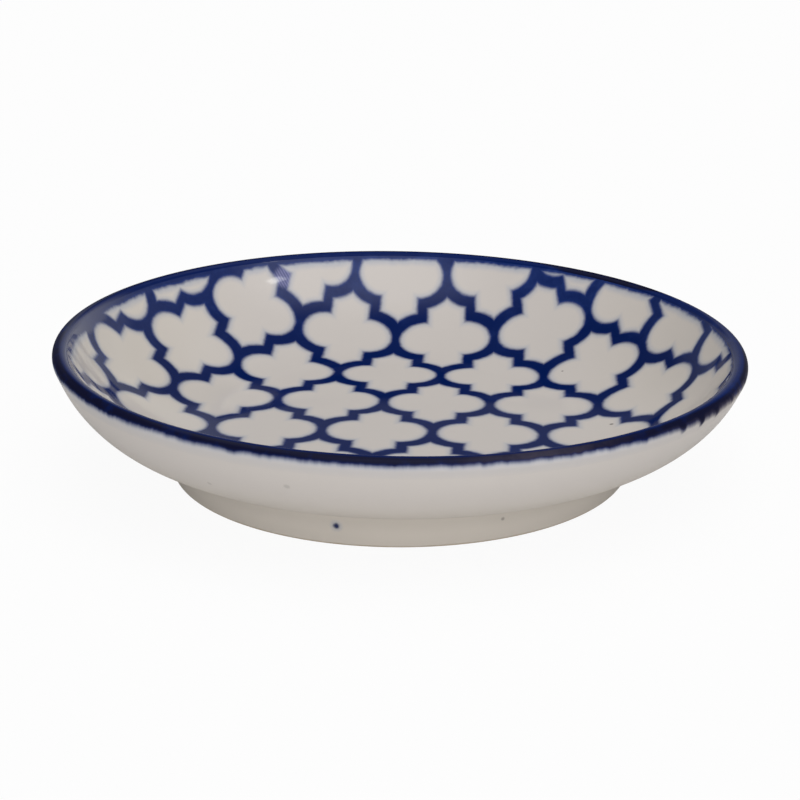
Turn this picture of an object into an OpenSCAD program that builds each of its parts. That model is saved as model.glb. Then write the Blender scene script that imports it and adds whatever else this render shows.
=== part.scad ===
// Soy sauce dish: a shallow round porcelain dish on a foot ring, with a cobalt band over the lip
// and a cobalt trellis print wrapped over the inside. The origin is on the table at the dish's axis.

/* [Bowl] */
// Diameter over the lip
rim_d = 95; // [90:1:104]
// Height from the table to the top of the lip
dish_h = 17.8; // [17:0.1:19]
// Thickness of the rounded lip
lip_t = 2.2; // [1.8:0.1:2.6]
// Radius of the belly, from the underside up to the lip
belly_r = 16.6; // [15.6:0.1:17.4]
// Height of the lowest point that the belly's curve would reach
belly_z = 5.3; // [5:0.1:5.6]
// Radius of the curve from the floor of the well up to the lip
well_r = 22.8; // [21.5:0.1:24]
// Height of the floor of the well above the table
floor_z = 5.6; // [5.2:0.1:6]
// Thickness of the base inside the foot ring
base_t = 2.8; // [2.4:0.1:3.2]
// Slope of the underside beside the foot, in degrees
under_slope = 15; // [12:1:18]

/* [Foot ring] */
// Diameter of the foot where it stands on the table
foot_d = 63.5; // [60:0.5:65]
// Height of the seat on the bowl that takes the top of the foot ring
seat_z = 4.8; // [4.4:0.1:5]
// Outward lean of the foot's outer face, in degrees
foot_lean = 9; // [4:1:14]
// Bore of the foot ring, round the boss of the base
foot_bore = 54; // [52:0.5:56]
// Width of the flat standing face
stand_w = 2.6; // [2:0.1:3]
// Size of the bevel on the outer edge of the standing face
foot_bevel = 0.5; // [0.3:0.1:0.7]
// Radius of the fillet between the foot and the underside
foot_fillet = 1; // [0.6:0.1:1.4]

/* [Rim band] */
// Thickness of the cobalt band, which lies flush in the lip
band_t = 0.4; // [0.3:0.05:0.6]
// Depth of the band below the top of the lip, outside
band_out = 1.5; // [1.3:0.1:2]
// Depth of the band below the top of the lip, inside
band_in = 1; // [0.9:0.1:1.6]

/* [Trellis print] */
// Thickness of the print on the glaze
print_t = 0.3; // [0.2:0.05:0.4]
// Width of one trellis cell, from waist to waist
cell_w = 15.3; // [14.5:0.1:16.5]
// Height of one trellis cell, from node to node
cell_h = 25; // [24:0.1:26]
// Radius of the round side lobes of a cell
lobe_r = 3.9; // [3.6:0.1:4.1]
// Width of the upright body of a cell
body_w = 6; // [5.8:0.1:6.4]
// Width of the trellis line along the lobes
line_w = 2.1; // [1.8:0.1:2.3]
// Turn of the print about the dish's axis, in degrees
print_turn = -3.7; // [-15:0.1:15]
// Shift of the print to the right
print_x = -2.3; // [-4:0.1:4]
// Shift of the print to the back
print_y = 9.1; // [6:0.1:12]

/* [Hidden] */
$fn = 96;

cobalt = "#2b3560";
porcelain = "#c8c3bd";
// Room that a cutter needs past the solid that it cuts
past = 5;

rim_r = rim_d / 2;
lip_r = lip_t / 2;
// Centre of the lip's round
lip_c = [rim_r - lip_r, dish_h - lip_r];
// Centre of the belly's arc, which runs smoothly into the outside of the lip's round
belly_c = [
    lip_c.x - sqrt(pow(belly_r - lip_r, 2) - pow(belly_z + belly_r - lip_c.y, 2)),
    belly_z + belly_r
];
// Centre of the well's arc, which runs smoothly into the floor and the inside of the lip's round
well_c = [
    lip_c.x - sqrt(pow(well_r + lip_r, 2) - pow(floor_z + well_r - lip_c.y, 2)),
    floor_z + well_r
];
// Where the belly's arc gives way to the straight underside, and which way that runs
under_p = belly_c + belly_r * [sin(under_slope), -cos(under_slope)];
under_way = [cos(under_slope), sin(under_slope)];
// Where the straight underside ends at the flat seat of the foot ring
seat_p = under_p - under_way * (under_p.y - seat_z) / under_way.y;
base_z = floor_z - base_t;
boss_r = foot_bore / 2;
foot_r = foot_d / 2;

// A point past the lip's round, on the line from the centre of one of the wall's arcs
function past_lip(c, way) = lip_c + way * past * (lip_c - c) / norm(lip_c - c);

// Where the line through p along u meets the line through q along v
function meet(p, u, q, v) = p + u * cross(q - p, v) / cross(u, v);

// The hollow of the dish, with a layer of the given thickness laid on it
module hollow_2d(layer) {
    translate([0, floor_z + layer]) square([well_c.x, dish_h]);
    intersection() {
        translate(well_c) circle(well_r - layer);
        square([rim_r, well_c.y]);
    }
}

// Everything inside the outer surface of the bowl, with a layer laid on the belly
module outer_2d(layer) {
    translate([0, base_z]) square([boss_r, dish_h]);
    polygon([[0, seat_z], seat_p, under_p, belly_c, [0, belly_c.y]]);
    intersection() {
        translate(belly_c) circle(belly_r + layer);
        translate([belly_c.x, 0]) square([belly_r + past, belly_c.y]);
    }
}

// Half section of the dish without its foot, with a layer laid on the inside, the lip and the belly
module dish_2d(layer = 0) {
    intersection() {
        difference() {
            outer_2d(layer);
            hollow_2d(layer);
        }
        polygon([
            [0, 0], [rim_r + past, 0], past_lip(belly_c, 1),
            lip_c, past_lip(well_c, -1), [0, past_lip(well_c, -1).y]
        ]);
    }
    translate(lip_c) circle(lip_r + layer);
}

// Half section of the cobalt band
module band_2d() {
    intersection() {
        difference() {
            dish_2d();
            dish_2d(-band_t);
        }
        union() {
            translate([lip_c.x, dish_h - band_out]) square([lip_t, 2 * band_out]);
            translate([lip_c.x - lip_t, dish_h - band_in]) square([lip_t, 2 * band_in]);
        }
    }
}

module bowl() {
    color(porcelain) rotate_extrude() difference() {
        dish_2d();
        band_2d();
    }
}

// Half section of the foot ring, before the bowl is taken out of it
module foot_2d() {
    face_p = [foot_r, foot_bevel];
    face_way = [sin(foot_lean), cos(foot_lean)];
    face_out = [cos(foot_lean), -sin(foot_lean)];
    under_out = [under_way.y, -under_way.x];
    corner = meet(face_p, face_way, seat_p, under_way);
    fillet_c = meet(
        face_p + foot_fillet * face_out, face_way,
        seat_p + foot_fillet * under_out, under_way
    );
    polygon([
        [boss_r, base_z], [foot_r - foot_bevel - stand_w, 0], [foot_r - foot_bevel, 0], face_p,
        corner, [corner.x, floor_z], [boss_r, floor_z]
    ]);
    // The fillet's blank reaches into the foot and the bowl, so that it joins the foot along more than an edge
    difference() {
        polygon([
            fillet_c - 2 * foot_fillet * face_out, fillet_c - foot_fillet * face_out, fillet_c,
            fillet_c - foot_fillet * under_out, fillet_c - 2 * foot_fillet * under_out
        ]);
        translate(fillet_c) circle(foot_fillet);
    }
}

module foot_ring() {
    color(porcelain) rotate_extrude() difference() {
        foot_2d();
        outer_2d(0);
    }
}

module rim_band() {
    color(cobalt) rotate_extrude() band_2d();
}

// Where a point of the flat print comes to lie, seen from above, once the print is wrapped up the wall
function wrap(p) =
    let (s = norm(p), climb = (s - well_c.x) / well_r * 180 / PI)
    climb <= 0 ? p : p / s * (well_c.x + well_r * sin(min(climb, 90)));

// Where a point of the print comes to lie once the print is turned and shifted in the dish
function placed(p) = [
    p.x * cos(print_turn) - p.y * sin(print_turn) + print_x,
    p.x * sin(print_turn) + p.y * cos(print_turn) + print_y
];

// Centre of a side lobe, measured from the middle of its cell
lobe_c = [body_w / 2, 0];
// Centre and radius of the arcs that draw the top of a cell to a point, round the lobes of its neighbours
ogee_c = [cell_w / 2 - lobe_c.x, cell_h / 2];
ogee_r = lobe_r + line_w;
ogee_from = acos((ogee_c.x - lobe_c.x) / ogee_r);
ogee_to = acos(ogee_c.x / ogee_r);
lobe_steps = 3;
ogee_steps = 2;

// The quarter of a cell's outline from the tip of its right-hand lobe to its top point
quarter = concat(
    [for (i = [0 : lobe_steps]) let (t = 90 * i / lobe_steps) lobe_c + lobe_r * [cos(t), sin(t)]],
    [for (i = [0 : ogee_steps]) let (t = ogee_from + (ogee_to - ogee_from) * i / ogee_steps)
        ogee_c - ogee_r * [cos(t), sin(t)]]
);

// The whole outline of a cell: the quarter and its three mirror images
function whole(q) = let (n = len(q)) concat(
    q,
    [for (i = [n - 2 : -1 : 0]) [-q[i].x, q[i].y]],
    [for (i = [1 : n - 1]) -q[i]],
    [for (i = [n - 2 : -1 : 1]) [q[i].x, -q[i].y]]
);

// Length of the flat print from the axis to the top of the wall
reach = well_c.x + well_r * asin((lip_c.x - well_c.x) / (well_r + lip_r)) * PI / 180;
columns = ceil(rim_d / cell_w);
rows = ceil(2 * rim_d / cell_h);

// The bare glaze that shows between the lines of the trellis, seen from above
module cells_2d() {
    outline = whole(quarter);
    for (row = [-rows : rows], column = [-columns : columns]) {
        middle = [(column + (row % 2 == 0 ? 0.5 : 0)) * cell_w, row * cell_h / 2];
        if (norm(placed(middle)) < reach + cell_h / 2)
            polygon([for (p = outline) wrap(placed(middle + p))]);
    }
}

module trellis_print() {
    color(cobalt) difference() {
        rotate_extrude() difference() {
            intersection() {
                hollow_2d(0);
                square([lip_c.x, dish_h - band_in]);
            }
            hollow_2d(print_t);
        }
        linear_extrude(dish_h) cells_2d();
    }
}

bowl();
foot_ring();
rim_band();
trellis_print();
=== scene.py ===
import math

import bpy
import numpy as np
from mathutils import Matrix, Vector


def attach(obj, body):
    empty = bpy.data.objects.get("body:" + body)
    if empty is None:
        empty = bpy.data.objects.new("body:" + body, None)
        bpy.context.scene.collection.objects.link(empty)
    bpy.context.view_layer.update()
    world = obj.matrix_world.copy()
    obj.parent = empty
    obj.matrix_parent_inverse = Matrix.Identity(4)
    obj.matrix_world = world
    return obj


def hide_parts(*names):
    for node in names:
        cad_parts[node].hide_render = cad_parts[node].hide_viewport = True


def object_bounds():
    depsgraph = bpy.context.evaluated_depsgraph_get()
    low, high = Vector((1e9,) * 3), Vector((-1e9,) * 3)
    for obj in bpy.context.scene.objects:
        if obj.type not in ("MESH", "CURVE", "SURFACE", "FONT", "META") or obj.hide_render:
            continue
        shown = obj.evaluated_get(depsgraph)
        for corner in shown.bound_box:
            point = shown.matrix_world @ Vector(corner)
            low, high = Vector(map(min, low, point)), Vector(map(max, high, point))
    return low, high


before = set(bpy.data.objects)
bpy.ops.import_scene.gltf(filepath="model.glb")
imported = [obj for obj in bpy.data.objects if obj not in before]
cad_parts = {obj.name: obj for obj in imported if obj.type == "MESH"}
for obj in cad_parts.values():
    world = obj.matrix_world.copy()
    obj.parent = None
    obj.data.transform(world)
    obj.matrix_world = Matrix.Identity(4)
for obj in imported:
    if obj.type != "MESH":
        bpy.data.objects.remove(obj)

bl_info = {
    "name": "Porcelain sauce dish",
    "version": (1, 0, 0),
    "blender": (4, 5, 0),
    "location": "View3D > Sidebar > Sauce dish",
    "description": "Glazed sauce dish with a cobalt rim band and a cobalt trellis print",
    "category": "Object",
}

# The box of the solids, straight after loading
SOLID_LOW, SOLID_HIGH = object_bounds()
MM = 0.001

# Steps round the axis of every turned piece, and the angle past which an edge looks sharp
TURNS = 320
SHARP = math.radians(50.0)
# Steps along the floor of the well, the wall inside, the lip, the belly and the underside
SECTION_STEPS = (16, 48, 28, 40, 8)
# Steps of the print where it runs on under the band
UNDER_BAND_STEPS = 4
# Steps along the band: its inner end, the lip, the belly and its outer end
BAND_STEPS = (8, 30, 20, 6)
# Points along the base inside the foot, and points on each rounded corner of the foot
BASE_POINTS = 12
CORNER_POINTS = 9
# Rings of the stage's floor, and steps round each of them
FLOOR_RINGS = 24
FLOOR_TURNS = 96

# Specks in the glaze, each with its place and its size in millimetres
BELLY_SPECKS = (((-23.4, -37.3, 11.0), 0.42), ((-13.6, -43.7, 13.0), 0.55))
WELL_SPECKS = (((29.4, -1.2, 5.9), 0.42), ((24.1, 20.7, 6.5), 0.3))
FOOT_SPECK = ((13.0, -29.42, 3.13), 0.36)
# Where a splash of cobalt sits on the foot, in millimetres
FOOT_DOT = (-8.09, -31.07, 2.84)
# Where a painted reflection lies hatched over the print, in millimetres on the flat print
GLINT_PATCH = (-19.3, 32.5)
# How far left the slide of the print begins and is full, and how far out its settling fades, in millimetres
SLIDE_RANGE = (26.5, 43.7)
SETTLE_RANGE = (24.0, 40.0)
# Where a painted sheen lies on the cobalt inside the lip, and where the cobalt is burnt on the inside as
# well, in millimetres
SHEEN_SPOT = (-45.3, 9.0, 16.5)
SINGED_LIP = (33.0, 34.0, 0.0)
# Drips below the band, each with its place round the lip and its length in millimetres
LIP_DRIPS = (
    ((34.95, -31.72, 0.0), 0.55),
    ((37.74, -28.51, 0.0), 0.75),
    ((40.1, -25.09, 0.0), 0.5),
    ((21.23, -41.82, 0.0), 0.4),
)
# Linear colour that the darker clouds in the porcelain lean to
CLOUD_SHADE = (0.30, 0.27, 0.24)
# Directions of the soft window behind the camera and of the soft light over the dish
WINDOW_WAY = (0.22, -0.47, 0.855)
SKYLIGHT_WAY = (0.0, 0.26, 0.966)


def length(name, description, default, least=0.0):
    """A length in metres, given here in millimetres."""
    return bpy.props.FloatProperty(
        name=name,
        description=description,
        default=default * MM,
        min=least * MM,
        precision=5,
        unit="LENGTH",
        subtype="DISTANCE",
    )


def spot(name, description, *default):
    """A place in metres, given here in millimetres."""
    return bpy.props.FloatVectorProperty(
        name=name,
        description=description,
        default=[MM * n for n in default],
        size=3,
        unit="LENGTH",
        subtype="TRANSLATION",
    )


def angle(name, description, default):
    """An angle in radians, given here in degrees."""
    return bpy.props.FloatProperty(
        name=name,
        description=description,
        default=math.radians(default),
        unit="ROTATION",
        subtype="ANGLE",
    )


def number(name, description, default):
    """A plain number, such as a strength."""
    return bpy.props.FloatProperty(name=name, description=description, default=default, precision=4)


def colour(name, description, *default):
    """A linear colour, given here in the eight-bit steps that a screen shows."""
    shown = np.array(default) / 255
    linear = np.where(shown <= 0.04045, shown / 12.92, ((shown + 0.055) / 1.055) ** 2.4)
    return bpy.props.FloatVectorProperty(
        name=name,
        description=description,
        default=linear.tolist(),
        size=3,
        min=0.0,
        max=1.0,
        subtype="COLOR",
    )


class DishSizes(bpy.types.PropertyGroup):
    """Sizes of the porcelain."""

    rim_radius: length("Rim radius", "Radius over the lip", SOLID_HIGH[0] / MM)
    height: length("Height", "Height from the table to the top of the lip", SOLID_HIGH[2] / MM)
    lip_radius: length("Lip radius", "Radius of the rounded lip", 1.1)
    belly_radius: length("Belly radius", "Radius of the curve from the underside up to the lip", 16.6)
    belly_low: length("Belly low point", "Lowest height that the curve of the belly would reach", 5.3)
    well_radius: length("Well radius", "Radius of the curve from the floor of the well up to the lip", 22.8)
    floor_height: length("Floor height", "Height of the floor of the well above the table", 5.6)
    base_height: length("Base height", "Height of the underside inside the foot", 2.8)
    boss_radius: length("Boss radius", "Radius of the underside inside the foot", 27)
    seat_height: length("Seat height", "Height at which the foot meets the underside", 4.8)
    under_slope: angle("Underside slope", "Slope of the underside beside the foot", 15)
    foot_radius: length("Foot radius", "Radius of the foot at the table", 31.75)
    foot_lean: angle("Foot lean", "Outward lean of the outer face of the foot", 9)
    stand_width: length("Standing width", "Width of the flat that the foot stands on", 2.6)
    foot_bevel: length("Foot bevel", "Size of the rounded outer edge of the standing flat", 0.5)
    foot_fillet: length("Foot fillet", "Radius of the glaze that pools between foot and underside", 1.0)
    slump: angle("Slump", "Lean that the rim took on in the kiln", 1.055)


class PrintSizes(bpy.types.PropertyGroup):
    """Sizes of the cobalt trellis and of the cobalt band."""

    cell_width: length("Cell width", "Width of one trellis cell, from waist to waist", 15.337)
    cell_height: length("Cell height", "Height of one trellis cell, from node to node", 25.017)
    lobe_radius: length("Lobe radius", "Radius of the round side lobes of a cell", 3.9)
    lobe_offset: length("Lobe offset", "Distance of a lobe's centre from the middle of its cell", 3.13)
    body_half: length("Body half width", "Half the width of the upright body of a cell", 3.05)
    ogee_radius: length("Ogee radius", "Radius of the arcs that draw the top of a cell to a point", 5.9)
    corner_round: length("Corner round", "Rounding of the corners of a cell", 0.35)
    spread: length("Spread", "How far the cobalt spread into the cells as it fired", 0.1)
    twist: angle("Twist", "Turn of the print about the axis", -3.69)
    shift_right: length("Shift right", "Shift of the print to the right", -2.26, least=-20.0)
    shift_back: length("Shift back", "Shift of the print to the back", 9.13)
    slide_right: length("Slide right", "How far the print slid to the right at the left wall", 0.7)
    slide_front: length("Slide front", "How far the print slid to the front at the left wall", 1.27)
    settle_left: length("Settle left", "How far the print settled to the left on the floor", 0.18)
    settle_front: length("Settle front", "How far the print settled to the front on the floor", 0.26)
    print_lift: length("Print lift", "Height of the printed film over the clay", 0.05)
    band_lift: length("Band lift", "Height of the cobalt band over the clay", 0.08)
    band_inside: length("Band inside", "Run of the cobalt band from the crest of the lip, inside", 1.74)
    band_outside: length("Band outside", "Run of the cobalt band from the crest of the lip, outside", 1.42)


class GlazeColours(bpy.types.PropertyGroup):
    """Colours of the glazes."""

    porcelain: colour("Porcelain", "Clear glaze over the warm white body", 194, 188, 183)
    # Painted light: a paler glaze colour that lightens the foot, the lower belly and the side walls inside
    # against their shade
    foot_porcelain: colour("Foot", "Glaze over the foot, where it lies thicker", 204, 197, 188)
    bare_clay: colour("Bare clay", "Unglazed clay of the standing flat", 186, 170, 148)
    # Painted shade: a darker glaze colour laid where the foot meets the belly, at the top of the foot and
    # the bottom of the belly
    painted_shade: colour("Pooled glaze", "Glaze that pooled where the foot meets the belly", 186, 179, 170)
    cobalt: colour("Cobalt", "Cobalt of the trellis and the band", 4, 25, 78)
    cobalt_thin: colour("Thin cobalt", "Cobalt where it lies thin", 36, 55, 112)
    halo: colour("Halo", "Blue that bleeds into the glaze round the cobalt", 136, 150, 174)
    scorch: colour("Scorch", "Brown-black of the cobalt where it is burnt along the lip", 16, 14, 28)
    worn: colour("Worn", "Grey-brown of the lip where the cobalt is worn thin", 54, 49, 58)
    # Painted reflection: pale violet of a hatched glint over the print
    painted_glint: colour("Rubbed", "Print where the transfer was rubbed", 146, 146, 190)
    # Painted reflection: grey violet sheen over the cobalt inside the lip at the far left
    painted_sheen: colour("Wash", "Grey violet of the cobalt inside the lip at the far left", 112, 114, 133)
    dry_edge: colour("Dry edge", "Grey-brown bleed below the band where the brush ran dry", 150, 141, 140)
    speck: colour("Speck", "Iron specks in the body", 96, 90, 88)


class StageSizes(bpy.types.PropertyGroup):
    """Sizes of the stage."""

    floor_radius: length("Floor radius", "Radius of the pale floor", 4000)
    floor_grey: number("Floor grey", "Grey of the floor where light falls on it", 0.72)
    floor_white: number("Floor white", "Share of plain white in the floor that the camera sees", 0.94)
    floor_mirrored: number("Floor mirrored", "How much of that share the floor's mirror image has", 0.1)
    camera_distance: length("Camera distance", "Distance of the camera from its aim", 298.9)
    camera_aim: length("Camera aim", "Height of the point that the camera aims at", 9.5)
    camera_rise: angle("Camera rise", "Height of the camera's line of sight over the table", 18.908)
    lens: number("Lens", "Focal length in millimetres on a frame 36 mm wide", 96.55)
    shift_right: number("Shift right", "Shift of the frame to the right, as a share of its width", -0.0005)
    shift_up: number("Shift up", "Shift of the frame upwards, as a share of its width", -0.0047)
    window: number("Window", "Brightness of the soft window high behind the camera", 1.8)
    skylight: number("Skylight", "Brightness of the soft light over the dish", 1.1)
    low_power: number("Low softbox", "Power of the low softbox behind the camera in watts", 6.0)
    low_place: spot("Low place", "Place of the low softbox", 0, -1200, 110)
    low_width: length("Low width", "Width of the low softbox", 1000)
    low_height: length("Low height", "Height of the low softbox", 200)
    key_power: number("Key softbox", "Power of the small softbox at the right in watts", 0.11)
    key_place: spot("Key place", "Place of the small softbox", 510, -240, 700)
    key_width: length("Key width", "Width of the small softbox", 90)
    key_height: length("Key height", "Height of the small softbox", 50)


class Wire:
    """A socket in a node tree. Arithmetic on wires adds Math nodes to the tree."""

    def __init__(self, tree, socket=None):
        self.tree = tree
        self.socket = socket

    def node(self, kind, settings=None, sockets=None, take=0):
        """Adds a node, makes its settings, fills its sockets with values or wires, and gives one output."""
        made = self.tree.nodes.new(kind)
        for name, value in (settings or {}).items():
            setattr(made, name, value)
        for key, value in (sockets or {}).items():
            if isinstance(value, Wire):
                self.tree.links.new(value.socket, made.inputs[key])
            else:
                made.inputs[key].default_value = value
        return Wire(self.tree, made.outputs[take] if len(made.outputs) else None)

    def also(self, take):
        """Another output of the node that this wire comes from."""
        return Wire(self.tree, self.socket.node.outputs[take])

    def math(self, operation, *values):
        """A Math node on these values."""
        return self.node("ShaderNodeMath", {"operation": operation}, dict(enumerate(values)))

    def __add__(self, other):
        return self.math("ADD", self, other)

    __radd__ = __add__

    def __sub__(self, other):
        return self.math("SUBTRACT", self, other)

    def __rsub__(self, other):
        return self.math("SUBTRACT", other, self)

    def __mul__(self, other):
        return self.math("MULTIPLY", self, other)

    __rmul__ = __mul__

    def __truediv__(self, other):
        return self.math("DIVIDE", self, other)

    def __rtruediv__(self, other):
        return self.math("DIVIDE", other, self)

    def __mod__(self, other):
        return self.math("FLOORED_MODULO", self, other)

    def __neg__(self):
        return self.math("MULTIPLY", self, -1.0)

    def __abs__(self):
        return self.math("ABSOLUTE", self)

    def least(self, other):
        """The smaller of two values."""
        return self.math("MINIMUM", self, other)

    def most(self, other):
        """The larger of two values."""
        return self.math("MAXIMUM", self, other)

    def hypot(self, other):
        """Length of the hypotenuse over two sides."""
        return self.math("SQRT", self * self + other * other)

    def rise(self, low, high):
        """0 below low, 1 above high, and a smooth step between them."""
        return self.node(
            "ShaderNodeMapRange",
            {"interpolation_type": "SMOOTHSTEP"},
            {0: self, 1: low, 2: high, 3: 0.0, 4: 1.0},
        )

    def place(self):
        """The place on the surface, in metres in the shared frame."""
        return self.node("ShaderNodeTexCoord", take="Object")

    def parts(self):
        """The three numbers of a vector."""
        first = self.node("ShaderNodeSeparateXYZ", {}, {0: self})
        return first, first.also(1), first.also(2)

    def vector_math(self, operation, other, take="Vector"):
        """A Vector Math node on this vector and another one."""
        return self.node("ShaderNodeVectorMath", {"operation": operation}, {0: self, 1: other}, take)

    def moved(self, way):
        """A vector plus another one."""
        return self.vector_math("ADD", way)

    def gap(self, point):
        """Distance in metres of a vector from a point that is given in millimetres."""
        return self.vector_math("DISTANCE", tuple(MM * n for n in point), "Value")

    def dot(self, way):
        """Dot product of a vector and a direction."""
        return self.vector_math("DOT_PRODUCT", way, "Value")

    def noise(self, scale, detail, roughness, shift=0.0):
        """Smooth noise between 0 and 1 on a vector, with scale waves to the metre."""
        moved = self.moved((shift, 0.37 * shift, -0.61 * shift))
        return self.node(
            "ShaderNodeTexNoise",
            {"noise_dimensions": "3D"},
            {"Vector": moved, "Scale": scale, "Detail": detail, "Roughness": roughness},
        )

    def waver(self, scale, detail, roughness, shift):
        """Smooth noise between -0.5 and 0.5."""
        return self.noise(scale, detail, roughness, shift) - 0.5

    def blend(self, first, second):
        """Mixes two colours, with this wire as the share of the second."""
        return self.node(
            "ShaderNodeMix", {"data_type": "RGBA"}, {0: self, 6: whole(first), 7: whole(second)}, take=2
        )


def whole(value):
    """A colour with its fourth number, or a wire as it is."""
    return value if isinstance(value, Wire) else (value[0], value[1], value[2], 1.0)


def new_material(name):
    """An empty node material and a wire to start its tree from."""
    made = bpy.data.materials.new(name)
    made.use_nodes = True
    made.node_tree.nodes.clear()
    return made, Wire(made.node_tree)


def specks(place, scale, share, size, shift):
    """Sparse round specks: the near parts of those Voronoi cells whose random number is high."""
    spots = place.node(
        "ShaderNodeTexVoronoi",
        {"feature": "F1"},
        {"Vector": place.moved((shift, shift, shift)), "Scale": scale},
        take="Distance",
    )
    chosen = spots.also("Color").parts()[0].rise(1.0 - share, 1.0 - 0.9 * share)
    return (1.0 - spots.rise(0.4 * size, size)) * chosen


def mark(place, point, size):
    """One small round fault of the glaze: 1 at its middle and 0 past its size. Both are in millimetres."""
    return 1.0 - place.gap(point).rise(0.4 * size * MM, size * MM)


def porcelain_colour(place, clay, colours):
    """Warm white body under clear glaze: broad clouds of tone, a fine grain and sparse iron specks."""
    cloud = place.noise(45.0, 3.0, 0.55)
    grain = place.noise(900.0, 2.0, 0.6, 3.1)
    tone = 0.955 + 0.06 * cloud + 0.03 * grain
    clouded = (1.0 - tone).blend(clay, CLOUD_SHADE)
    return (0.45 * specks(place, 130.0, 0.10, 0.055, 0.4)).blend(clouded, colours.speck)


def cobalt_colour(place, colours, thin):
    """Cobalt with the mottling of a brushed or printed oxide: thin shares are paler."""
    coarse = place.noise(230.0, 3.0, 0.6, 7.7)
    fine = place.waver(1500.0, 2.0, 0.6, 1.9)
    share = (thin + 0.55 * coarse.rise(0.45, 0.85) + 0.35 * fine).rise(0.0, 1.6)
    return share.blend(colours.cobalt, colours.cobalt_thin)


def even_gloss(place):
    """Weight of the gloss coat where the glaze lies evenly, with a little noise."""
    return 0.22 + 0.12 * place.noise(90.0, 2.0, 0.5, 3.7)


def run_gloss(x):
    """Extra weight of the gloss coat at the left, where the glaze ran in the kiln."""
    return 0.62 * (-x).rise(8.0 * MM, 38.0 * MM)


def sheen_share(x):
    """How much painted sheen lies over the cobalt inside the lip: all of it at the far left."""
    return (-x).rise(39.0 * MM, 45.5 * MM)


def glazed(start, place, base, gloss, dull=None, relief=None):
    """Clay or cobalt under a clear gloss coat, with a faint ripple under the coat.

    The ripple is two noises, 0.016 mm and 0.002 mm high. The relief of the cobalt is added to it, and the
    dullness of bare clay is added to the roughness.
    """
    height = 0.016 * MM * place.noise(110.0, 2.0, 0.5, 5.3) + 0.002 * MM * place.noise(700.0, 1.0, 0.5, 2.2)
    rough = 0.22 + 0.16 * place.noise(160.0, 3.0, 0.6, 9.1)
    if relief is not None:
        height = height + relief
    if dull is not None:
        rough = rough + dull
    bump = start.node("ShaderNodeBump", {}, {"Strength": 1.0, "Distance": 1.0, "Height": height})
    surface = start.node(
        "ShaderNodeBsdfPrincipled",
        {},
        {
            "Base Color": base,
            "Roughness": rough,
            "IOR": 1.5,
            "Specular IOR Level": 0.0,
            "Coat Weight": gloss,
            "Coat Roughness": 0.06,
            "Coat IOR": 1.5,
            "Normal": bump,
        },
    )
    start.node("ShaderNodeOutputMaterial", {}, {"Surface": surface})


def trellis_gap(flat_x, flat_y, flatness, sizes):
    """Signed distance in millimetres from the edge of the trellis line, above 0 on the line.

    A cell is bare where the round side lobe or the upright body with its ogee top covers it. The flat print
    is folded into one quarter of its repeat, and the nearer of the two staggered cells there counts. Where
    the flatness is below 1, the lobes are taller, so that the lines over and under them are thinner.
    """
    half_w = 0.5 * sizes.cell_width / MM
    half_h = 0.5 * sizes.cell_height / MM
    fold_x = abs((flat_x + half_w) % (2.0 * half_w) - half_w)
    fold_y = abs((flat_y + half_h) % (2.0 * half_h) - half_h)
    first = cell_gap(half_w - fold_x, fold_y, half_w, half_h, flatness, sizes)
    second = cell_gap(fold_x, half_h - fold_y, half_w, half_h, flatness, sizes)
    return first.least(second)


def cell_gap(x, y, half_w, half_h, flatness, sizes):
    """Distance from the outline of one trellis cell, below 0 inside it, at a place measured from its middle.

    The lobe is the distance from its centre less its radius. The body is the larger of the distance past its
    side and the ogee's radius less the distance from the ogee's centre. The cell is the smaller of the two.
    """
    offset = sizes.lobe_offset / MM
    lobe = (x - offset).hypot(flatness * y) - sizes.lobe_radius / MM
    ogee = sizes.ogee_radius / MM - ((half_w - offset) - x).hypot(half_h - y)
    body = lobe.math("SMOOTH_MAX", x - sizes.body_half / MM, ogee, sizes.corner_round / MM)
    return lobe.math("SMOOTH_MIN", lobe, body, sizes.corner_round / MM)


def lip_frame(sizes):
    """Centres of the lip, belly and well arcs in the half section, and the angles at which they meet.

    Both wall arcs are tangent to the round of the lip. Angles start straight down and grow outwards and up.
    """
    lip = np.array((sizes.rim_radius - sizes.lip_radius, sizes.height - sizes.lip_radius))
    belly_z = sizes.belly_low + sizes.belly_radius
    belly_span = sizes.belly_radius - sizes.lip_radius
    belly = np.array((lip[0] - math.sqrt(belly_span**2 - (belly_z - lip[1]) ** 2), belly_z))
    well_z = sizes.floor_height + sizes.well_radius
    well_span = sizes.well_radius + sizes.lip_radius
    well = np.array((lip[0] - math.sqrt(well_span**2 - (well_z - lip[1]) ** 2), well_z))
    outer = math.atan2(lip[0] - belly[0], belly[1] - lip[1])
    inner = math.atan2(lip[0] - well[0], well[1] - lip[1])
    return lip, belly, well, outer, inner


def section_marks(sizes):
    """Runs along the section, in metres from the crest of the lip, at which one line gives way to the next.

    From the axis inside to the foot outside: the axis, the end of the floor, well to lip, lip to belly,
    belly to underside, and the foot. A run on an arc is its angle times its radius.
    """
    _, belly, well, outer, inner = lip_frame(sizes)
    to_well = -inner * sizes.lip_radius
    to_floor = to_well - inner * sizes.well_radius
    to_belly = (math.pi - outer) * sizes.lip_radius
    to_under = to_belly + (outer - sizes.under_slope) * sizes.belly_radius
    under_z = belly[1] - sizes.belly_radius * math.cos(sizes.under_slope)
    to_foot = to_under + (under_z - sizes.seat_height) / math.sin(sizes.under_slope)
    return to_floor - well[0], to_floor, to_well, to_belly, to_under, to_foot


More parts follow.
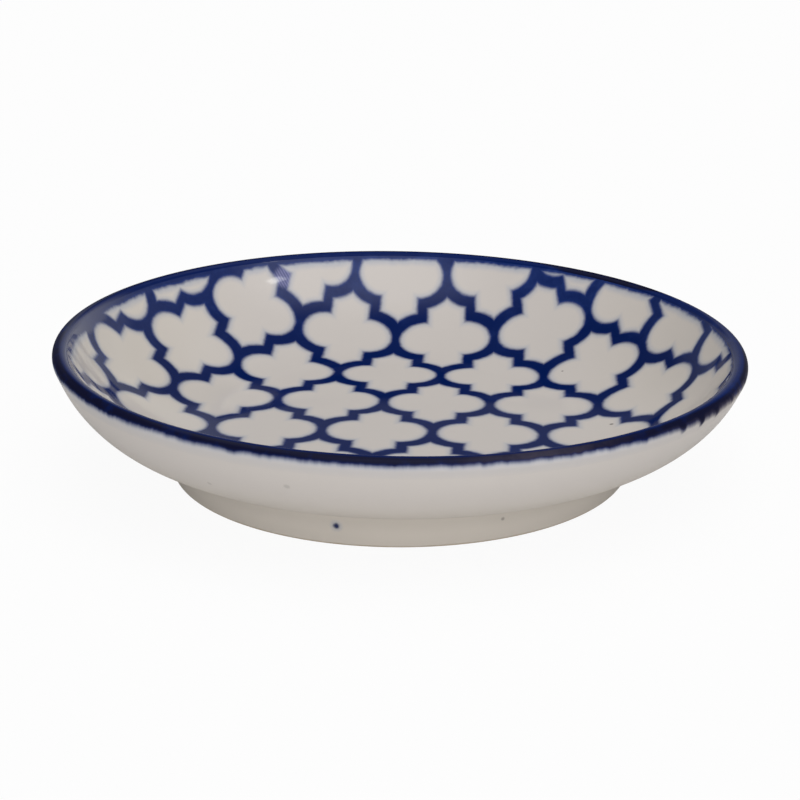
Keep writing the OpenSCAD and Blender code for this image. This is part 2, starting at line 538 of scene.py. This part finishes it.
def section_points(sizes, run, lift):
    """Points of the half section at runs along it, raised along the outward normal.

    Each point is a centre plus a radius times the direction (sin a, -cos a) on the arcs, and a start plus a
    length times a direction on the floor and on the straight underside. The lift is one number, or one for
    each run.
    """
    lip, belly, well, outer, _ = lip_frame(sizes)
    axis, to_floor, to_well, to_belly, to_under, _ = section_marks(sizes)
    on_well = (run - to_floor) / sizes.well_radius
    on_lip = math.pi - run / sizes.lip_radius
    on_belly = outer - (run - to_belly) / sizes.belly_radius
    past = run - to_under
    slope = sizes.under_slope
    zones = [run < to_floor, run < to_well, run <= to_belly, run <= to_under]
    radius = np.select(
        zones,
        [
            run - axis,
            well[0] + (sizes.well_radius - lift) * np.sin(on_well),
            lip[0] + (sizes.lip_radius + lift) * np.sin(on_lip),
            belly[0] + (sizes.belly_radius + lift) * np.sin(on_belly),
        ],
        belly[0] + (sizes.belly_radius + lift) * math.sin(slope) - past * math.cos(slope),
    )
    height = np.select(
        zones,
        [
            sizes.floor_height + lift + 0.0 * run,
            well[1] - (sizes.well_radius - lift) * np.cos(on_well),
            lip[1] - (sizes.lip_radius + lift) * np.cos(on_lip),
            belly[1] - (sizes.belly_radius + lift) * np.cos(on_belly),
        ],
        belly[1] - (sizes.belly_radius + lift) * math.cos(slope) - past * math.sin(slope),
    )
    return np.stack((radius, height), axis=1)


def skin_section(sizes, run, lift, sunk):
    """Closed section of a thin skin: out along the section below its surface, and back at the lift."""
    return np.concatenate((section_points(sizes, run, -sunk), section_points(sizes, run, lift)[::-1]))


def eased(value, low, high):
    """0 below low, 1 above high, and 3 t^2 - 2 t^3 between them."""
    share = np.clip((value - low) / (high - low), 0.0, 1.0)
    return share * share * (3.0 - 2.0 * share)


def stretch(marks, counts):
    """Runs from the first mark to the last, with a count of even steps between each two marks."""
    pieces = [np.linspace(a, b, n, endpoint=False) for a, b, n in zip(marks[:-1], marks[1:], counts)]
    return np.concatenate(pieces + [np.array(marks[-1:])])


def rounded(corners, radii):
    """Closed polygon with its corners rounded.

    The centre of each round lies on the bisector at radius / sin(half angle), and its arc sweeps from one
    tangent point to the other.
    """
    back = np.roll(corners, 1, axis=0) - corners
    ahead = np.roll(corners, -1, axis=0) - corners
    back /= np.linalg.norm(back, axis=1, keepdims=True)
    ahead /= np.linalg.norm(ahead, axis=1, keepdims=True)
    middle = back + ahead
    middle /= np.linalg.norm(middle, axis=1, keepdims=True)
    half = np.arccos(np.clip((back * middle).sum(axis=1), -1.0, 1.0))
    centre = corners + middle * (radii / np.sin(half))[:, None]
    reach = (radii / np.tan(half))[:, None]
    first = corners + back * reach - centre
    last = corners + ahead * reach - centre
    start = np.arctan2(first[:, 1], first[:, 0])
    sweep = np.arctan2(last[:, 1], last[:, 0]) - start
    sweep = (sweep + math.pi) % (2.0 * math.pi) - math.pi
    bearing = start[:, None] + sweep[:, None] * np.linspace(0.0, 1.0, CORNER_POINTS)
    ways = np.stack((np.cos(bearing), np.sin(bearing)), axis=2)
    return (centre[:, None] + radii[:, None, None] * ways).reshape(-1, 2)


def slumped(points, sizes):
    """The lean from the kiln: a point sinks by its distance to the right times the sine of a lean.

    The lean grows with the height, so that the foot stands flat and the rim leans most.
    """
    lean = np.sin(sizes.slump * points[..., 2] / sizes.height)
    points[..., 2] -= points[..., 0] * lean
    return points


def turned(name, section, sizes, ring):
    """Object that a half section sweeps in a turn about the axis, with its mesh in the shared frame.

    Row i of the grid is section point i, and column j is the bearing 2 pi j / TURNS. A ring joins its last
    row to its first; any other section starts and ends on the axis, where a fan of triangles closes it.
    """
    bearing = 2.0 * math.pi * np.arange(TURNS) / TURNS
    rows = section if ring else section[1:-1]
    points = np.empty((len(rows), TURNS, 3))
    points[..., 0] = rows[:, :1] * np.cos(bearing)
    points[..., 1] = rows[:, :1] * np.sin(bearing)
    points[..., 2] = rows[:, 1:]
    points = points.reshape(-1, 3)
    index = np.arange(len(points)).reshape(len(rows), TURNS)
    lower = index if ring else index[:-1]
    upper = np.roll(index, -1, axis=0) if ring else index[1:]
    corners = (lower, np.roll(lower, -1, axis=1), np.roll(upper, -1, axis=1), upper)
    faces = np.stack(corners, axis=2).reshape(-1, 4).tolist()
    if not ring:
        poles = np.array(((0.0, 0.0, section[0, 1]), (0.0, 0.0, section[-1, 1])))
        first_pole = np.full(TURNS, len(points))
        last_pole = first_pole + 1
        points = np.concatenate((points, poles))
        faces += np.stack((first_pole, np.roll(index[0], -1), index[0]), axis=1).tolist()
        faces += np.stack((last_pole, index[-1], np.roll(index[-1], -1)), axis=1).tolist()
    mesh = bpy.data.meshes.new(name)
    mesh.from_pydata(slumped(points, sizes).tolist(), [], faces)
    mesh.shade_smooth()
    mesh.set_sharp_from_angle(angle=SHARP)
    if mesh.validate():
        raise RuntimeError("the mesh of " + name + " has bad faces")
    made = bpy.data.objects.new(name, mesh)
    bpy.context.scene.collection.objects.link(made)
    return made


def keep(piece, material, node):
    """Gives a piece its material, hangs it under the root, and hides the solid that it stands for."""
    piece.data.materials.append(material)
    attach(piece, "root")
    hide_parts(node)


class DISH_OT_body(bpy.types.Operator):
    """Turn the porcelain body"""

    bl_idname = "sauce_dish.body"
    bl_label = "Body"

    def execute(self, context):
        sizes = context.scene.dish_sizes
        material = self.glaze(sizes, context.scene.glaze_colours)
        keep(self.form(sizes), material, "bowl")
        return {"FINISHED"}

    def form(self, sizes):
        """The flat base and the foot's seat, then the section from the foot over the lip to the axis."""
        base = np.full((BASE_POINTS, 2), sizes.base_height)
        base[:, 0] = np.linspace(0.0, sizes.boss_radius, BASE_POINTS)
        seat = np.array(((sizes.boss_radius, sizes.seat_height),))
        wall = section_points(sizes, stretch(section_marks(sizes)[::-1], SECTION_STEPS[::-1]), 0.0)
        return turned("dish_body", np.concatenate((base, seat, wall)), sizes, False)

    def glaze(self, sizes, colours):
        """Clear glaze, less glossy towards the foot, painted lighter towards the foot as painted light and
        darker just above it as painted shade, with two specks on the belly.
        """
        material, start = new_material("glazed_porcelain")
        place = start.place()
        x, y, z = place.parts()
        # Painted light and shade: the colour grows paler down towards the foot, where the belly faces away
        # from the light, and a little darker near the bottom, where the foot meets the belly
        lower = 0.9 - 0.9 * z.rise(6.0 * MM, 13.0 * MM)
        painted_shade = 0.08 - 0.08 * z.rise(6.3 * MM, 9.8 * MM)
        clay = painted_shade.blend(lower.blend(colours.porcelain, colours.foot_porcelain), colours.painted_shade)
        body = porcelain_colour(place, clay, colours)
        for point, size in BELLY_SPECKS:
            body = (0.22 * mark(place, point, size)).blend(body, colours.speck)
        # The glaze ran on the inside only. The outside lies furthest from the centre of the belly's arc
        belly = lip_frame(sizes)[1]
        reach = x.hypot(y)
        far = (reach - belly[0]).hypot(z - belly[1]).rise(15.2 * MM, 16.1 * MM)
        inside = 1.0 - far * reach.rise(30.5 * MM, 32.5 * MM)
        gloss = (even_gloss(place) + inside * run_gloss(x)) * (0.3 + 0.7 * z.rise(6.5 * MM, 13.0 * MM))
        glazed(start, place, body, gloss)
        return material


class DISH_OT_foot(bpy.types.Operator):
    """Turn the foot ring"""

    bl_idname = "sauce_dish.foot"
    bl_label = "Foot"

    def execute(self, context):
        material = self.glaze(context.scene.glaze_colours)
        keep(self.form(context.scene.dish_sizes), material, "foot_ring")
        return {"FINISHED"}

    def form(self, sizes):
        """A ring whose leaning outer face meets the underside in a fillet. Its hidden top lies in the body.

        The corner is where two lines cross: the outer face, whose radius grows with the height by its slant,
        and a chord of the underside, whose height grows with the radius by its climb.
        """
        chord = 6.0 * MM
        overlap = 2.2 * MM
        tuck = 1.6 * MM
        skim = 0.05 * MM
        toe_back = np.array((-0.8, 0.5)) * MM
        stand_round = 0.25 * MM
        bore_round = 0.7 * MM
        hidden = 0.02 * MM
        to_foot = section_marks(sizes)[5]
        near, far = section_points(sizes, np.array((to_foot, to_foot - chord)), 0.0)
        way = (far - near) / np.linalg.norm(far - near)
        climb = way[1] / way[0]
        slant = math.tan(sizes.foot_lean)
        face_z = (near[1] + (sizes.foot_radius - near[0]) * climb) / (1.0 - slant * climb)
        corner = np.array((sizes.foot_radius + slant * face_z, face_z))
        toe = corner + overlap * way + np.array((0.0, skim))
        corners = np.array(
            (
                (sizes.foot_radius - sizes.foot_bevel - sizes.stand_width, 0.0),
                (sizes.foot_radius, 0.0),
                corner,
                toe,
                toe + toe_back,
                (sizes.boss_radius - tuck, sizes.seat_height),
                (sizes.boss_radius - tuck, sizes.base_height + skim),
                (sizes.boss_radius, sizes.base_height),
            )
        )
        radii = (stand_round, sizes.foot_bevel, sizes.foot_fillet) + 4 * (hidden,) + (bore_round,)
        return turned("foot", rounded(corners, np.array(radii)), sizes, True)

    def glaze(self, colours):
        """Paler glaze as painted light, with painted shade at the top under the belly, worn off the standing
        flat, with a splash of cobalt and a speck.
        """
        material, start = new_material("glazed_foot")
        place = start.place()
        z = place.parts()[2]
        clay = porcelain_colour(place, colours.foot_porcelain, colours)
        # Painted shade along the top of the foot, under the belly
        upper = (z + 1.2 * MM * place.waver(120.0, 2.0, 0.5, 4.4)).rise(1.8 * MM, 3.9 * MM)
        clay = (0.45 * upper).blend(clay, colours.painted_shade)
        ragged = 0.35 * MM * place.noise(350.0, 3.0, 0.6, 6.2)
        bare = 1.0 - z.rise(0.02 * MM + ragged, 0.22 * MM + ragged)
        clay = (0.85 * bare).blend(clay, colours.bare_clay)
        dot = place.gap(FOOT_DOT) + 0.22 * MM * place.noise(2600.0, 2.0, 0.5, 8.0)
        clay = (0.35 - 0.35 * dot.rise(0.5 * MM, 1.2 * MM)).blend(clay, colours.halo)
        clay = (0.95 - 0.95 * dot.rise(0.3 * MM, 0.72 * MM)).blend(clay, colours.cobalt)
        clay = (0.5 * mark(place, *FOOT_SPECK)).blend(clay, colours.speck)
        glazed(start, place, clay, even_gloss(place) * (1.0 - bare), dull=0.45 * bare)
        return material


class DISH_OT_print(bpy.types.Operator):
    """Lay the cobalt trellis over the inside"""

    bl_idname = "sauce_dish.trellis"
    bl_label = "Trellis print"

    def execute(self, context):
        sizes = context.scene.dish_sizes
        flat = context.scene.print_sizes
        piece = self.form(sizes, flat)
        self.lay_flat(piece, sizes, flat)
        material = self.glaze(sizes, flat, context.scene.glaze_colours)
        keep(piece, material, "trellis_print")
        return {"FINISHED"}

    def form(self, sizes, flat):
        """A thin film over the floor and the wall, whose edge runs on under the band."""
        under_band = 0.5 * MM
        sunk = 0.1 * MM
        marks = section_marks(sizes)
        run = stretch(marks[:3] + (marks[2] + under_band,), SECTION_STEPS[:2] + (UNDER_BAND_STEPS,))
        return turned("well_print", skin_section(sizes, run, flat.print_lift, sunk), sizes, False)

    def lay_flat(self, piece, sizes, flat):
        """Stores on each point its place on the flat print, in millimetres, and its run from the axis.

        The print is wrapped by length: a point lies in its own direction from the axis, at its run along the
        section. The wet transfer slid a little: over the left wall it went right and to the front, and over
        the floor it went left and to the front.
        """
        _, _, well, _, inner = lip_frame(sizes)
        points = np.empty(3 * len(piece.data.vertices))
        piece.data.vertices.foreach_get("co", points)
        points = points.reshape(-1, 3)
        radius = np.hypot(points[:, 0], points[:, 1])
        sine = np.clip((radius - well[0]) / sizes.well_radius, 0.0, math.sin(inner))
        run = np.where(radius < well[0], radius, well[0] + sizes.well_radius * np.arcsin(sine))
        away = run / np.maximum(radius, 1.0e-9)
        right = points[:, 0] * away - flat.shift_right
        back = points[:, 1] * away - flat.shift_back
        cosine, sine = math.cos(flat.twist), math.sin(flat.twist)
        laid = np.stack((right * cosine + back * sine, back * cosine - right * sine, run), axis=1) / MM
        slid = eased(-laid[:, 0], *SLIDE_RANGE)
        settled = 1.0 - eased(laid[:, 2], *SETTLE_RANGE)
        laid[:, 0] += (settled * flat.settle_left - slid * flat.slide_right) / MM
        laid[:, 1] += (settled * flat.settle_front + slid * flat.slide_front) / MM
        stored = piece.data.attributes.new("flat_print", "FLOAT_VECTOR", "POINT")
        stored.data.foreach_set("vector", laid.ravel())

    def glaze(self, sizes, flat, colours):
        """Cobalt lines with soft, ragged edges that bleed into the clear glaze, and the edge of the band."""
        material, start = new_material("trellis_glaze")
        place = start.place()
        x, y, z = place.parts()
        laid = start.node("ShaderNodeAttribute", {"attribute_name": "flat_print"}, take="Vector")
        flat_x, flat_y, climb = laid.parts()
        flat_x = flat_x + 0.34 * place.waver(140.0, 2.0, 0.5, 2.7)
        flat_y = flat_y + 0.34 * place.waver(140.0, 2.0, 0.5, 8.9)
        # Gaps are in millimetres and above 0 on the cobalt: first that of the trellis, then that of the band
        ragged = 0.30 * place.waver(900.0, 3.0, 0.6, 4.1)
        flatness = 0.945 + 0.055 * y.rise(6.0 * MM, 20.0 * MM)
        gap = trellis_gap(flat_x, flat_y, flatness, flat) + flat.spread / MM + ragged
        edge = (-section_marks(sizes)[0] - flat.band_inside) / MM
        brush = 0.7 * place.waver(260.0, 3.0, 0.6, 1.3) + 0.36 * place.waver(1000.0, 1.0, 0.5, 2.4)
        # The painted sheen centres here; it also carries the edge of the cobalt further down
        sheen_spot = 1.0 - place.gap(SHEEN_SPOT).rise(2.0 * MM, 8.0 * MM)
        rim = climb - edge + brush + 0.5 * sheen_spot - 6.0 * x
        gap = gap.most(rim)
        # Painted light: the glaze colour is paler towards the side walls, more at the left, and blue bleeds
        # into it near the cobalt
        side_light = 0.95 * (-x).rise(20.0 * MM, 40.0 * MM) + 0.55 * x.rise(20.0 * MM, 40.0 * MM)
        body = porcelain_colour(place, side_light.blend(colours.porcelain, colours.foot_porcelain), colours)
        bleed = (0.4 * gap.rise(-1.15, 0.0)).most(0.55 * rim.rise(-1.4, 0.1))
        body = bleed.blend(body, colours.halo)
        for point, size in WELL_SPECKS:
            body = (0.8 * mark(place, point, size)).blend(body, colours.speck)
        # The cobalt is thin at its edges and up the wall, with a painted reflection hatched over one patch
        # and a painted sheen at the far left
        thin = 0.7 - 0.7 * gap.rise(0.05, 0.6) + 0.5 * z.rise(10.0 * MM, 14.0 * MM)
        blue = cobalt_colour(place, colours, thin)
        # Painted reflection: pale hatched lines of a glint over the cobalt in one patch
        glint_hatch = abs((1.5 * flat_x + 1.65 * flat_y) % 1.0 - 0.5).rise(0.2, 0.45)
        patch = (flat_x - GLINT_PATCH[0]).hypot(flat_y - GLINT_PATCH[1])
        painted_glint = 1.0 - patch.rise(1.0, 2.1)
        blue = (painted_glint * (0.3 + 0.26 * glint_hatch)).blend(blue, colours.painted_glint)
        blue = (0.5 * sheen_share(x) * rim.rise(-0.9, 0.0)).blend(blue, colours.painted_sheen)
        ink = gap.rise(-0.43, 0.35).most(rim.rise(-0.32, 0.28))
        body = ink.blend(body, blue)
        # The gloss grows up the wall, and it is weak in an oval at the back of the floor
        oval = ((x - 2.0 * MM) / 38.0).hypot((y - 24.5 * MM) / 17.5)
        weak = 1.0 - oval.rise(0.7 * MM, 1.05 * MM)
        gloss = even_gloss(place) + run_gloss(x) + 0.12 * z.rise(10.0 * MM, 14.0 * MM)
        gloss = gloss.least(1.0) * (1.0 - 0.85 * weak)
        glazed(start, place, body, gloss, relief=0.006 * MM * gap.rise(-0.4, 0.4))
        return material


class DISH_OT_band(bpy.types.Operator):
    """Brush the cobalt band over the lip"""

    bl_idname = "sauce_dish.band"
    bl_label = "Rim band"

    def execute(self, context):
        flat = context.scene.print_sizes
        material = self.glaze(flat, context.scene.glaze_colours)
        keep(self.form(context.scene.dish_sizes, flat), material, "rim_band")
        return {"FINISHED"}

    def form(self, sizes, flat):
        """A thin skin over the lip that sinks into the glaze at both ends. Each point stores its run.

        It starts a little past the inner edge of the cobalt, which the film of the print carries on, and it
        runs on below the outer edge, so that the drips and the bleed have room.
        """
        step = 0.4 * MM
        dip = 0.5 * MM
        fade = 2.5 * MM
        sunk = 0.12 * MM
        first, last = step - flat.band_inside, flat.band_outside + fade
        to_belly = section_marks(sizes)[3]
        run = stretch((first, first + step, to_belly, last - step, last), BAND_STEPS)
        taper = eased(run, first, first + dip) * (1.0 - eased(run, last - fade, last))
        section = skin_section(sizes, run, flat.band_lift * (1.2 * taper - 0.2), sunk)
        piece = turned("lip_band", section, sizes, True)
        along = np.repeat(np.concatenate((run, run[::-1])) / MM, TURNS)
        piece.data.attributes.new("lip_run", "FLOAT", "POINT").data.foreach_set("value", along)
        return piece

    def glaze(self, flat, colours):
        """Brushed cobalt: burnt along the crest, worn in front, with a painted highlight along the lit
        crest, a painted sheen at the far left, and drips.
        """
        material, start = new_material("band_glaze")
        place = start.place()
        x, y, _ = place.parts()
        along = start.node("ShaderNodeAttribute", {"attribute_name": "lip_run"}, take="Fac")
        around = start.node("ShaderNodeCombineXYZ", {}, {"X": x, "Y": y, "Z": 0.0})
        # Stretches of the lip
        right = x.rise(8.0 * MM, 34.0 * MM)
        far = x.rise(26.0 * MM, 45.0 * MM)
        left = (-x).rise(24.0 * MM, 42.0 * MM)
        front = (-y).rise(-12.0 * MM, 16.0 * MM)
        # The gap is in millimetres up from the lower edge of the cobalt, with its brush marks and drips
        brush = 0.35 * place.waver(170.0, 2.0, 0.5, 3.3) + 0.45 * around.waver(800.0, 2.0, 0.6, 6.6)
        drips = (0.12 + 0.2 * right) * around.noise(420.0, 1.0, 0.5, 5.8).rise(0.54, 0.76)
        for point, long in LIP_DRIPS:
            drips = drips.most(long * (1.0 - around.gap(point).rise(0.1 * MM, 1.0 * MM)))
        gap = flat.band_outside / MM - 0.05 * right + 0.22 * far + 0.2 * left + brush + drips - along
        bleed = (0.5 * gap.rise(-0.95, 0.05)).most(0.16 * gap.rise(-2.4, -0.4))
        body = porcelain_colour(place, colours.porcelain, colours)
        body = bleed.blend(body, far.blend(colours.halo, colours.dry_edge))
        # The inside of the lip stays blue, with painted highlight as paler cobalt along the lit crest at the
        # front and the far right, and the crest beyond it is burnt brown or worn grey in streaks
        singed = 1.0 - around.gap(SINGED_LIP).rise(5.0 * MM, 14.0 * MM)
        inside = ((0.73 * front - 0.25).most(0.8 * far) - 1.1 * singed - along).rise(0.0, 0.5)
        thin = 0.9 - 0.9 * gap.rise(0.0, 0.6) + (0.25 * front + 0.15 * far) * inside
        blue = cobalt_colour(place, colours, thin)
        crest = (1.0 - inside) * (1.0 - 0.7 * (1.0 - far) * gap.rise(0.5, 0.0))
        streaks = place.noise(260.0, 3.0, 0.6, 7.1)
        burnt = crest * (0.6 + 0.4 * front.most(right)) * streaks.rise(0.18, 0.5)
        worn = x.rise(4.0 * MM, 16.0 * MM) * (1.0 - x.rise(16.0 * MM, 32.0 * MM)) * front
        worn = (worn * streaks.rise(0.3, 0.65)).most(far * gap.rise(0.7, 0.1))
        blue = (0.85 * burnt).blend(blue, worn.blend(colours.scorch, colours.worn))
        # Painted sheen over the cobalt inside the lip at the far left
        blue = (0.5 * sheen_share(x) * (-0.3 - along).rise(0.0, 0.7)).blend(blue, colours.painted_sheen)
        covered = gap.rise(-0.4 - 0.35 * far, 0.3)
        body = covered.blend(body, blue)
        # The gloss is weak on the burnt crest, below it and at the back
        inner = 1.0 - (along - 0.2).rise(0.0, 0.8)
        gloss = even_gloss(place) + inner * (run_gloss(x) + 0.35 * far)
        crest_loss = (0.65 + 0.2 * left) * covered * (along + 0.5).rise(0.0, 0.9)
        back_loss = 0.7 * covered * y.rise(8.0 * MM, 30.0 * MM)
        gloss = gloss * (1.0 - crest_loss) * (1.0 - back_loss)
        glazed(start, place, body, gloss, relief=0.01 * MM * gap.rise(-0.4, 0.5))
        return material


class DISH_OT_stage(bpy.types.Operator):
    """Set the floor, the lights and the camera"""

    bl_idname = "sauce_dish.stage"
    bl_label = "Stage"

    def execute(self, context):
        stage = context.scene.stage_sizes
        self.lay_floor(stage)
        self.set_sky(stage)
        self.hang_light("low", stage.low_place, stage.low_width, stage.low_height, stage.low_power)
        self.hang_light("key", stage.key_place, stage.key_width, stage.key_height, stage.key_power)
        self.set_camera(stage)
        context.scene.view_settings.view_transform = "Standard"
        return {"FINISHED"}

    def lay_floor(self, stage):
        """A round floor just below the foot: rings of growing radius, with small faces near the dish."""
        first_ring = 20.0 * MM
        drop = 0.02 * MM
        rings = np.geomspace(first_ring, stage.floor_radius, FLOOR_RINGS)
        bearing = 2.0 * math.pi * np.arange(FLOOR_TURNS) / FLOOR_TURNS
        x = np.append((rings[:, None] * np.cos(bearing)).ravel(), 0.0)
        y = np.append((rings[:, None] * np.sin(bearing)).ravel(), 0.0)
        points = np.stack((x, y, np.full_like(x, -drop)), axis=1)
        middle = FLOOR_RINGS * FLOOR_TURNS
        index = np.arange(middle).reshape(FLOOR_RINGS, FLOOR_TURNS)
        ahead = np.roll(index, -1, axis=1)
        quads = np.stack((index[:-1], index[1:], ahead[1:], ahead[:-1]), axis=2).reshape(-1, 4)
        fan = np.stack((np.full(FLOOR_TURNS, middle), index[0], ahead[0]), axis=1)
        mesh = bpy.data.meshes.new("floor")
        mesh.from_pydata(points.tolist(), [], quads.tolist() + fan.tolist())
        mesh.materials.append(self.floor_paint(stage))
        floor = bpy.data.objects.new("floor", mesh)
        bpy.context.scene.collection.objects.link(floor)

    def floor_paint(self, stage):
        """Matt grey that the camera sees as a white ground with a little shadow, and that mirrors dimmer."""
        material, start = new_material("pale_floor")
        camera = start.node("ShaderNodeLightPath", take="Is Camera Ray")
        mirrored = stage.floor_mirrored * camera.also("Is Glossy Ray")
        share = stage.floor_white * camera.most(mirrored).most(camera.also("Is Transmission Ray"))
        matt = start.node("ShaderNodeBsdfDiffuse", {}, {"Color": whole(3 * (stage.floor_grey,))})
        white = start.node("ShaderNodeEmission", {}, {"Color": (1.0, 1.0, 1.0, 1.0), "Strength": 1.0})
        mixed = start.node("ShaderNodeMixShader", {}, {0: share, 1: matt, 2: white})
        start.node("ShaderNodeOutputMaterial", {}, {"Surface": mixed})
        return material

    def set_sky(self, stage):
        """A dim room, pale at the horizon and the sides, with a soft window and a soft light overhead."""
        sky = bpy.data.worlds.new("room")
        sky.use_nodes = True
        sky.node_tree.nodes.clear()
        start = Wire(sky.node_tree)
        way = start.node("ShaderNodeTexCoord", take="Generated")
        x, _, z = way.parts()
        wall = 0.5 - 0.1 * z.rise(0.06, 0.18) - 0.3 * z.rise(0.33, 0.45) + 0.3 * x * x * z.rise(0.25, 0.55)
        ceiling = 0.2 * z.rise(0.7, 1.0)
        window = stage.window * way.dot(WINDOW_WAY).rise(0.74, 0.97)
        skylight = stage.skylight * way.dot(SKYLIGHT_WAY).rise(0.75, 0.97)
        level = wall + ceiling + window + skylight
        light = start.node("ShaderNodeBackground", {}, {"Color": level, "Strength": 1.0})
        start.node("ShaderNodeOutputWorld", {}, {"Surface": light})
        bpy.context.scene.world = sky

    def hang_light(self, name, place, width, height, power):
        """A softbox that faces the dish."""
        lamp = bpy.data.lights.new(name, "AREA")
        lamp.shape = "RECTANGLE"
        lamp.size = width
        lamp.size_y = height
        lamp.energy = power
        made = bpy.data.objects.new(name, lamp)
        made.location = place
        tilt = math.atan2(math.hypot(place[0], place[1]), place[2])
        made.rotation_euler = (tilt, 0.0, math.atan2(place[0], -place[1]))
        bpy.context.scene.collection.objects.link(made)

    def set_camera(self, stage):
        """A camera in front of the dish, on a line of sight that falls to its aim."""
        eye = bpy.data.cameras.new("camera")
        eye.sensor_width = 36.0
        eye.lens = stage.lens
        eye.shift_x = stage.shift_right
        eye.shift_y = stage.shift_up
        eye.clip_start = 10.0 * MM
        made = bpy.data.objects.new("camera", eye)
        rise = stage.camera_rise
        back = stage.camera_distance * math.cos(rise)
        up = stage.camera_distance * math.sin(rise)
        made.location = (0.0, -back, stage.camera_aim + up)
        made.rotation_euler = (0.5 * math.pi - rise, 0.0, 0.0)
        bpy.context.scene.collection.objects.link(made)
        bpy.context.scene.camera = made


class DISH_PT_panel(bpy.types.Panel):
    """Sizes, colours and makers of the sauce dish"""

    bl_label = "Sauce dish"
    bl_idname = "DISH_PT_panel"
    bl_space_type = "VIEW_3D"
    bl_region_type = "UI"
    bl_category = "Sauce dish"

    def draw(self, context):
        for name, kind in GROUPS.items():
            column = self.layout.column(align=True)
            for entry in kind.__annotations__:
                column.prop(getattr(context.scene, name), entry)
        for step in STEPS:
            self.layout.operator(step.bl_idname)


GROUPS = {
    "dish_sizes": DishSizes,
    "print_sizes": PrintSizes,
    "glaze_colours": GlazeColours,
    "stage_sizes": StageSizes,
}
STEPS = (DISH_OT_body, DISH_OT_foot, DISH_OT_print, DISH_OT_band, DISH_OT_stage)


def register():
    """Registers the classes and puts the groups on the scene."""
    for name, group in GROUPS.items():
        bpy.utils.register_class(group)
        setattr(bpy.types.Scene, name, bpy.props.PointerProperty(type=group))
    for step in STEPS:
        bpy.utils.register_class(step)
    bpy.utils.register_class(DISH_PT_panel)


def unregister():
    """Takes the classes and the groups away again."""
    bpy.utils.unregister_class(DISH_PT_panel)
    for step in reversed(STEPS):
        bpy.utils.unregister_class(step)
    for name, group in GROUPS.items():
        delattr(bpy.types.Scene, name)
        bpy.utils.unregister_class(group)


def main():
    """Makes the dish and its stage."""
    register()
    bpy.ops.sauce_dish.body()
    bpy.ops.sauce_dish.foot()
    bpy.ops.sauce_dish.trellis()
    bpy.ops.sauce_dish.band()
    bpy.ops.sauce_dish.stage()


if __name__ == "__main__":
    main()
